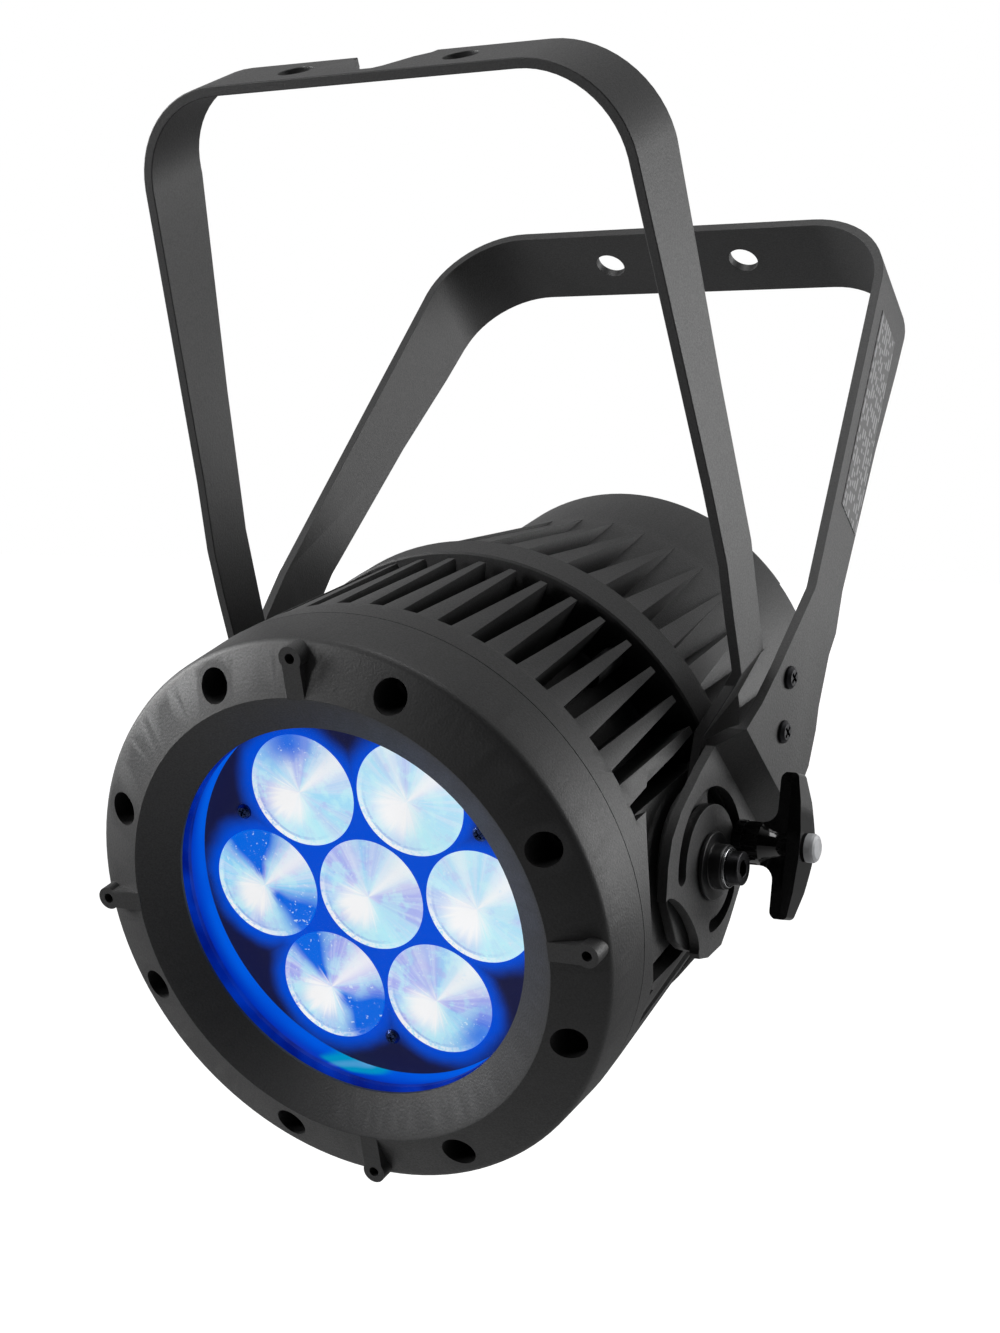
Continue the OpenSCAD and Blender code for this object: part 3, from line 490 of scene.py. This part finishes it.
def lit_gasket():
    """Black window gasket that catches the blue light from behind."""
    look = Look("gasket_lit", Roughness=0.5, Specular_IOR_Level=0.1, Emission_Strength=1.0)
    patch = look.noise(look.lamp_coordinates(), 60, 2.0)
    look.shade("Emission Color", look.mix(look.remap(patch, 0.3, 0.7),
                                          (0.0, 0.008, 0.2, 1), (0.0, 0.03, 0.42, 1)))
    look.shade("Base Color", look.mix(patch, grey(0.008), grey(0.014)))
    return look.material


def lit_plate():
    """Lens plate: painted blue light between the lenses and in a halo round each, near black further out."""
    look = Look("carriage_plastic", Roughness=0.35, Specular_IOR_Level=0.08,
                Emission_Strength=1.0)
    where = look.lamp_coordinates()
    flat = look.vector("MULTIPLY", where, (1, 0, 1))
    radius = look.vector("LENGTH", flat)
    split = look.node("ShaderNodeSeparateXYZ")
    look.join(flat, split.inputs[0])
    angle = look.math("ARCTAN2", split.outputs["X"], split.outputs["Z"])

    # Angle from the nearest outer lens, then by the cosine rule the gap to that lens's edge
    sector = math.radians(360 / OUTER_LENSES)
    turn = look.less(look.math("WRAP", angle, sector, 0.0), sector / 2)
    across = look.times(look.times(radius, look.math("COSINE", turn)), -2 * LENS_PITCH)
    square = look.plus(look.plus(look.times(radius, radius), across), LENS_PITCH ** 2)
    gap = look.less(look.math("SQRT", look.math("MAXIMUM", square, 0.0)), LENS_R)
    patch = look.noise(where, 55, 2.0)
    gap = look.plus(gap, look.times(look.less(patch, 0.5), 6 * MM))

    # Painted blue light: a halo round each lens and a glow near the middle
    halo = look.remap(gap, 9 * MM, 0.0)
    inner = look.remap(radius, 60 * MM, 46 * MM)
    look.shade("Emission Color", look.mix(look.math("MAXIMUM", halo, inner),
                                          (0.009, 0.010, 0.045, 1), (0.0, 0.075, 0.68, 1)))
    look.shade("Base Color", look.mix(patch, (0.004, 0.004, 0.01, 1), (0.01, 0.01, 0.02, 1)))
    return look.material


def lit_emitter():
    """Pale blue emitter behind each lens."""
    look = Look("led_blue", Roughness=0.3, Emission_Strength=2.0)
    spot = look.noise(look.coordinates(), 300)
    look.shade("Emission Color", look.mix(spot, (0.2, 0.45, 1, 1), (0.5, 0.75, 1, 1)))
    look.shade("Base Color", look.mix(spot, (0.2, 0.3, 0.6, 1), (0.3, 0.45, 0.8, 1)))
    return look.material


def printed_label():
    """Blank grey data label with rows of paler dashes in place of any text."""
    rows_per_metre = 420
    dashes_per_metre = 260
    look = Look("label", Roughness=0.4)
    where = look.vector("SUBTRACT", look.coordinates(), tuple(middle("rating_label")))
    along = look.vector("DOT_PRODUCT", where, tuple(ARM_DIRECTION))
    across = look.vector("DOT_PRODUCT", where, tuple(ACROSS.cross(ARM_DIRECTION)))
    height = look.times(across, rows_per_metre)
    row = look.math("FLOOR", height)
    line = look.math("FRACT", height)
    place = look.node("ShaderNodeCombineXYZ")
    look.join(look.times(along, dashes_per_metre), place.inputs["X"])
    look.join(look.times(row, 7.3), place.inputs["Y"])      # no two rows alike
    dash = look.noise(place.outputs[0], 1.0, 0.0)
    ink = look.times(look.remap(dash, 0.46, 0.50), look.remap(line, 0.35, 0.45))
    look.shade("Base Color", look.mix(look.times(ink, 0.75),
                                      (0.09, 0.09, 0.092, 1), (0.42, 0.42, 0.43, 1)))
    look.bump(look.noise(where, 700), 0.02 * MM, 0.4)
    return look.material


# ---------------------------------------------------------------- materials by slot

LOOKS = {
    "yoke_paint": powder_coat("yoke_paint", 0.03, 0.48),
    "cast_paint": powder_coat("cast_paint", 0.03, 0.5, 1.2),
    "panel_paint": powder_coat("panel_paint", 0.028, 0.55),
    "black_screw": metal("black_screw", (0.035, 0.035, 0.038), 0.4),
    "pivot_bolt": metal("pivot_bolt", (0.04, 0.04, 0.043), 0.35),
    "label": printed_label(),
    "friction_disc": moulded("friction_disc", (0.012, 0.012, 0.013), 0.6),
    "window": clear_window(),
    "seal_rubber": moulded("seal_rubber", (0.012, 0.012, 0.014), 0.5),
    "bush_plastic": moulded("bush_plastic", (0.012, 0.012, 0.013), 0.32),
    "bright_steel": metal("bright_steel", (0.75, 0.76, 0.78), 0.16),
    "bright_screw": metal("bright_screw", (0.6, 0.6, 0.62), 0.28),
    "ground_steel": metal("ground_steel", (0.55, 0.56, 0.58), 0.22),
    "barrel_blue": lit_barrel(),
    "led_board_mask": moulded("led_board_mask", (0.01, 0.02, 0.08), 0.4),
    "led_blue": lit_emitter(),
    "motor_can": metal("motor_can", (0.06, 0.06, 0.065), 0.4),
    "carriage_plastic": lit_plate(),
    "nut_brass": metal("nut_brass", (0.62, 0.45, 0.18), 0.3),
    "bush_bronze": metal("bush_bronze", (0.5, 0.34, 0.16), 0.4),
    "circuit_board": moulded("circuit_board", (0.02, 0.12, 0.06), 0.35),
    "supply_case": metal("supply_case", (0.6, 0.6, 0.62), 0.35),
    "display": high_gloss("display", 0.01),
    "power_in_blue": moulded("power_in_blue", (0.02, 0.06, 0.3), 0.35),
    "power_out_grey": moulded("power_out_grey", (0.3, 0.31, 0.33), 0.4),
    "data_socket": moulded("data_socket", (0.02, 0.02, 0.022), 0.35),
    "button_cap": moulded("button_cap", (0.03, 0.03, 0.033), 0.4),
    "knob_gloss": high_gloss("knob_gloss", 0.006),
    "nub_grey": moulded("nub_grey", (0.62, 0.63, 0.65), 0.4),
}

# Nodes that look different from the rest of their slot
NODE_LOOKS = {
    "window_gasket": lit_gasket(),
    # The carriage screws' dark blue is painted shade and blue light from the lit chamber
    "carriage_screws": metal("carriage_screw", (0.05, 0.08, 0.22), 0.3),
}


def look_of(node):
    """A node's material. The lens slot has none here, because add_lenses replaces its node."""
    return NODE_LOOKS.get(node) or LOOKS.get(SLOT_OF[node])


def paint(piece, *materials):
    piece.data.materials.clear()
    for material in materials:
        piece.data.materials.append(material)


def paint_cad_nodes():
    for name, node in NODES.items():
        if not node.material_slots:
            node.data.materials.append(None)
        for slot in node.material_slots:
            slot.material = look_of(name)


# ---------------------------------------------------------------- pieces

# Width of a node's rounded edges in mm, and the steps across them
ROUNDED = {
    "outer_yoke": (0.7, 3), "inner_yoke": (0.7, 3),
    "front_bezel": (0.8, 3), "front_housing": (0.5, 2), "rear_cover": (0.8, 2),
    "inner_barrel": (0.2, 2), "lens_plate": (0.3, 2),
    "knob_right": (1.3, 4), "knob_left": (1.3, 4),
    "knob_right_washer": (0.25, 2), "knob_left_washer": (0.25, 2),
    "pivot_bushes": (0.5, 3), "pivot_washers": (0.25, 2), "pivot_bolts": (0.6, 3),
    "bezel_screws": (0.3, 2), "yoke_screws": (0.25, 2), "rear_panel": (0.3, 2),
}


def onto_radius(old, new):
    """A rule that moves points at one distance from the optical axis to another."""
    def rule(point):
        away = point - AXIS_POINT
        along = REAR * away.dot(REAR)
        across = away - along
        if abs(across.length - old) < 0.5 * MM:
            return AXIS_POINT + along + across.normalized() * new
        return point
    return rule


def sloping_ends(cap):
    """A rule that lowers a knob's outer face towards the ends of its bar."""
    centre = middle(cap)
    half_bar = 28.5 * MM
    drop_at_end = 2.3 * MM
    moves_from = 129 * MM       # distance out from the lamp's middle
    moves_fully = 135 * MM

    def rule(point):
        reach = math.hypot(point.y - centre.y, point.z - centre.z)
        outward = (abs(point.x) - moves_from) / (moves_fully - moves_from)
        drop = drop_at_end * min(1, reach / half_bar) * min(1, max(0, outward))
        return point - Vector((math.copysign(drop, point.x), 0, 0))
    return rule


def finish_castings():
    """Main visible castings, yokes, knobs and screws get rounded edges.

    The barrel and lens plate are widened to match the lit band in the photograph.
    """
    rules = {
        "inner_barrel": onto_radius(75 * MM, 77.2 * MM),
        "lens_plate": onto_radius(74 * MM, 76.3 * MM),
        "knob_right": sloping_ends("knob_right_cap"),
        "knob_left": sloping_ends("knob_left_cap"),
    }
    for node, (width, segments) in ROUNDED.items():
        piece = softened(node, width * MM, segments)
        if node in rules:
            for vertex in piece.data.vertices:
                vertex.co = rules[node](vertex.co)
        paint(piece, look_of(node))


def lens_profile(radius, depth):
    """Half section of a lens: dome (material 0), rim (1), then skirt and back (2)."""
    rim = 0.7 * MM
    back = LENS_RISE - depth
    steps = 12
    dome = [(0.965 * radius * i / steps, 0.75 * LENS_RISE * (1 - (i / steps) ** 2), 0)
            for i in range(steps + 1)]
    edge = [(radius - rim, 0.3 * MM, 1), (radius - 0.4 * rim, 0.35 * MM, 1),
            (radius, -0.2 * MM, 1)]
    skirt = [(radius, -3.5 * MM, 2), (0.9 * radius, -6 * MM, 2),
             (0.5 * radius, back, 2), (0, back, 2)]
    return dome + edge + skirt


def add_lenses():
    """Seven moulded lenses, each a domed face in a raised rim, with a lit skirt behind it."""
    def share(value):
        return min(1.0, max(0.0, value))

    skirt = lens_skirt()
    edge = lens_edge()
    for number, (centre, radius, front, back) in enumerate(islands("zoom_lenses"), 1):
        # The lens's place in the window sets its light: paler to the right and at the top
        off = centre - AXIS_POINT
        side = off.x / LENS_PITCH
        height = off.dot(RISE) / LENS_PITCH
        face = glowing_lens(
            f"lens_glow_{number}",
            wedge_blue=share(-0.9 * side - 0.65 * height + 0.1),
            rim_blue=share(-1.1 * side + 0.35 * height + 0.1),
            low_blue=share(-0.9 * height - 0.25 * side),
            wash=share(0.6 * side + 0.5 * height + 0.35),
            wedge_at=102 - 18 * height)
        piece = revolved(f"zoom_lens_{number}", lens_profile(radius, back - front))
        foot = centre + REAR * (front + LENS_RISE - centre.dot(REAR))
        piece.matrix_world = Matrix.Translation(foot) @ LENS_AXES.to_4x4()
        paint(piece, face, edge, skirt)
        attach(piece, "zoom_carriage")
        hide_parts("zoom_lenses")


# ---------------------------------------------------------------- camera, floor and light

# The camera, fitted to the photograph: its place from the pivot, and its turn down and left
# in degrees
CAMERA_OFFSET = Vector((0.4511, -0.7820, 0.1594))
CAMERA_DOWN = 5.585
CAMERA_LEFT = 28.94
FOCAL_LENGTH = 60.84        # for a frame 36 mm high

# Softboxes: place from the pivot and side in metres, and power in watts
SOFTBOXES = {
    "left_softbox": ((-1.5, -0.5, 0.5), 0.9, 32),
    "front_softbox": ((-0.85, -1.35, 0.6), 0.35, 5),
    "top_softbox": ((0.0, -0.1, 1.7), 0.9, 9),
    "right_softbox": ((1.3, 0.9, 0.4), 0.9, 6.5),
    "back_softbox": ((1.2, 1.3, 0.2), 0.9, 8),
}


def add_camera():
    data = bpy.data.cameras.new("camera")
    data.sensor_width = 36.0
    data.lens = FOCAL_LENGTH
    camera = bpy.data.objects.new("camera", data)
    camera.location = PIVOT + CAMERA_OFFSET
    camera.rotation_euler = (math.radians(90 - CAMERA_DOWN), 0, math.radians(CAMERA_LEFT))
    bpy.context.scene.collection.objects.link(camera)
    bpy.context.scene.camera = camera


def add_floor():
    """A wide floor, evenly white to the camera, that throws little light up at the lamp."""
    mesh = bpy.data.meshes.new("floor")
    bm = bmesh.new()
    bmesh.ops.create_grid(bm, x_segments=1, y_segments=1, size=20)
    bm.to_mesh(mesh)
    bm.free()
    floor = link_new("floor", mesh)
    floor.location = (0, 0, -1.4)
    look = Look("floor_white", Roughness=0.9, Base_Color=(0.5, 0.5, 0.5, 1),
                Emission_Color=WHITE)
    seen = look.node("ShaderNodeLightPath")
    look.shade("Emission Strength", look.remap(seen.outputs["Is Camera Ray"], 0.0, 1.0, 0.02, 1.0))
    paint(floor, look.material)


def add_softboxes():
    """Square lights that look at the pivot."""
    for name, (offset, size, power) in SOFTBOXES.items():
        data = bpy.data.lights.new(name, "AREA")
        data.size = size
        data.energy = power
        light = bpy.data.objects.new(name, data)
        light.location = PIVOT + Vector(offset)
        light.rotation_euler = (-Vector(offset)).to_track_quat("-Z", "Y").to_euler()
        bpy.context.scene.collection.objects.link(light)


def add_world():
    """Light studio behind the lamp and a dark one in front; plain white to the camera."""
    world = bpy.data.worlds.new("studio")
    world.use_nodes = True
    tree = world.node_tree
    background = tree.nodes["Background"]
    background.inputs["Color"].default_value = WHITE
    where = tree.nodes.new("ShaderNodeTexCoord")
    split = tree.nodes.new("ShaderNodeSeparateXYZ")
    depth = tree.nodes.new("ShaderNodeMapRange")
    depth.inputs["From Min"].default_value = -0.4
    depth.inputs["From Max"].default_value = 0.6
    depth.inputs["To Min"].default_value = 0.0      # strength in front
    depth.inputs["To Max"].default_value = 0.45     # strength behind
    seen = tree.nodes.new("ShaderNodeLightPath")
    brighter = tree.nodes.new("ShaderNodeMath")
    brighter.operation = "MAXIMUM"
    tree.links.new(where.outputs["Generated"], split.inputs[0])
    tree.links.new(split.outputs["Y"], depth.inputs["Value"])
    tree.links.new(depth.outputs["Result"], brighter.inputs[0])
    tree.links.new(seen.outputs["Is Camera Ray"], brighter.inputs[1])
    tree.links.new(brighter.outputs[0], background.inputs["Strength"])
    bpy.context.scene.world = world


bpy.context.scene.view_settings.view_transform = "Standard"
add_camera()
add_floor()
add_world()
add_softboxes()

paint_cad_nodes()
finish_castings()
add_lenses()
